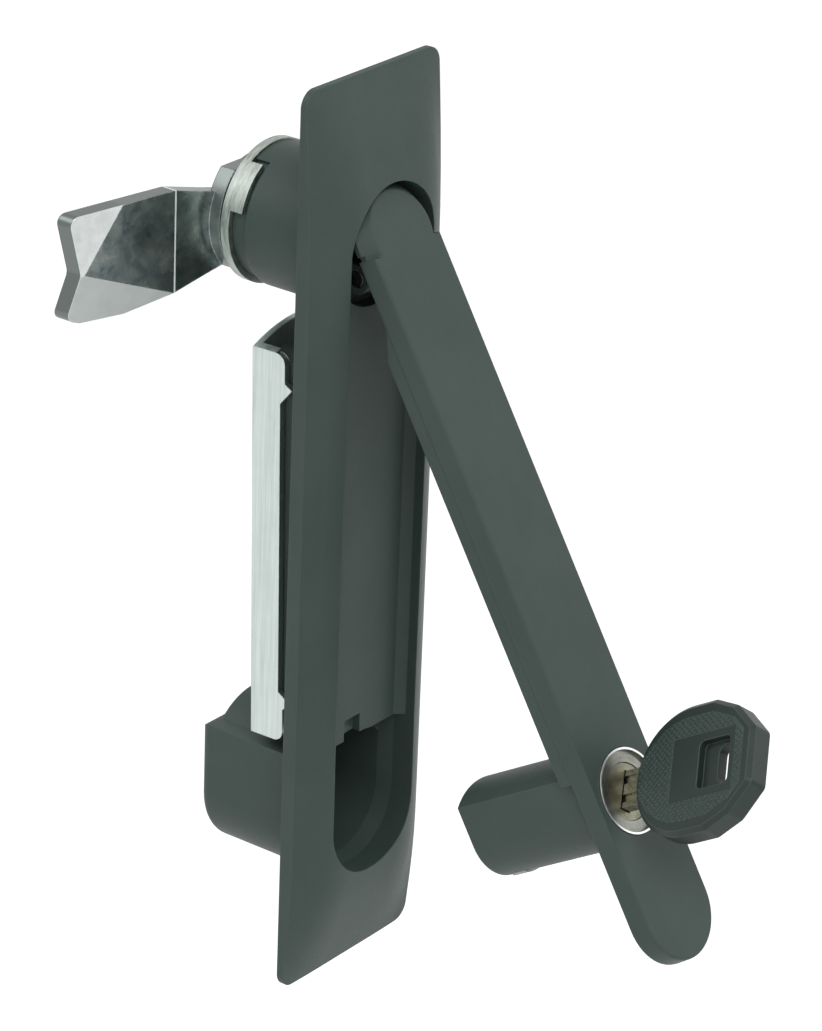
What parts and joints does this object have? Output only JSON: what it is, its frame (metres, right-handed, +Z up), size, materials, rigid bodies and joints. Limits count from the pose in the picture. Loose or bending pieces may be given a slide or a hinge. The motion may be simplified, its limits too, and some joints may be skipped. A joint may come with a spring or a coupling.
{
  "type": "swing handle lock",
  "caption": "Recessed swing handle lock for a cabinet door: a lift-out handle with a key lock in its boss turns a cam behind the door frame.",
  "frame": {"origin": "centre of the dish's rear face, on the door's outer face", "axes": "+X to the right seen from in front of the door, +Y back through the door, +Z up along the dish"},
  "size_m": [0.0589, 0.1211, 0.168],
  "materials": {
    "housing_plastic": "fine grained, glass filled",
    "bow_plastic": "satin moulded",
    "zinc_sheet": "zinc plated, rolled grain",
    "zinc_cam": "bright zinc plated",
    "zinc_screw": "zinc plated",
    "die_cast": "die cast zinc, plain",
    "chromed": "polished",
    "plug_brass": "satin",
    "key_steel": "nickel plated",
    "seal_rubber": "matt foam"
  },
  "bodies": {
    "base": {"dish": "housing_plastic", "dish_seal": "seal_rubber", "clip": "zinc_sheet", "clip_screws": "zinc_screw"},
    "rotor": {"spindle": "die_cast", "spindle_ring": "seal_rubber", "hinge_pin": "zinc_screw", "handle_spring": "zinc_screw", "stop_disc": "zinc_cam", "cam": "zinc_cam", "cam_washer": "zinc_screw", "cam_screw": "zinc_screw"},
    "lever": {"handle": "housing_plastic", "cylinder_housing": "chromed", "latch_cover": "housing_plastic"},
    "plug": {"cylinder_plug": "plug_brass", "wafers": "plug_brass", "cylinder_ring": "zinc_screw", "lock_cam": "die_cast", "lock_cam_screw": "zinc_screw"},
    "bolt": {"latch_bolt": "die_cast"},
    "key": {"key_blade": "key_steel", "key_bow": "bow_plastic"}
  },
  "joints": [
    {"name": "spindle_turn", "type": "hinge", "parent": "base", "child": "rotor", "pos_m": [0, 0, 0.0538], "axis": [0, -1, 0], "range_deg": [0, 90]},
    {"name": "handle_lift", "type": "hinge", "parent": "rotor", "child": "lever", "pos_m": [0, -0.0045, 0.0495], "axis": [-1, 0, 0], "range_deg": [-30.9, 0], "stiffness_Nm_per_rad": 0.12, "springref_deg": 34.38, "deforming": ["handle_spring"]},
    {"name": "plug_turn", "type": "hinge", "parent": "lever", "child": "plug", "pos_m": [0, -0.05442, -0.0339], "axis": [0, 0.8581, -0.5135], "range_deg": [-41.3, 48.7]},
    {"name": "latch_slide", "type": "slide", "parent": "lever", "child": "bolt", "axis": [0, 0.5135, 0.8581], "range_m": [-0.00247, 0.00291]},
    {"name": "key_slide", "type": "slide", "parent": "plug", "child": "key", "axis": [0, -0.8581, 0.5135], "range_m": [0, 0.026]}
  ],
  "couplings": [
    {"joint": "plug_turn", "follows": "latch_slide", "rad_per_m": 292.3}
  ]
}
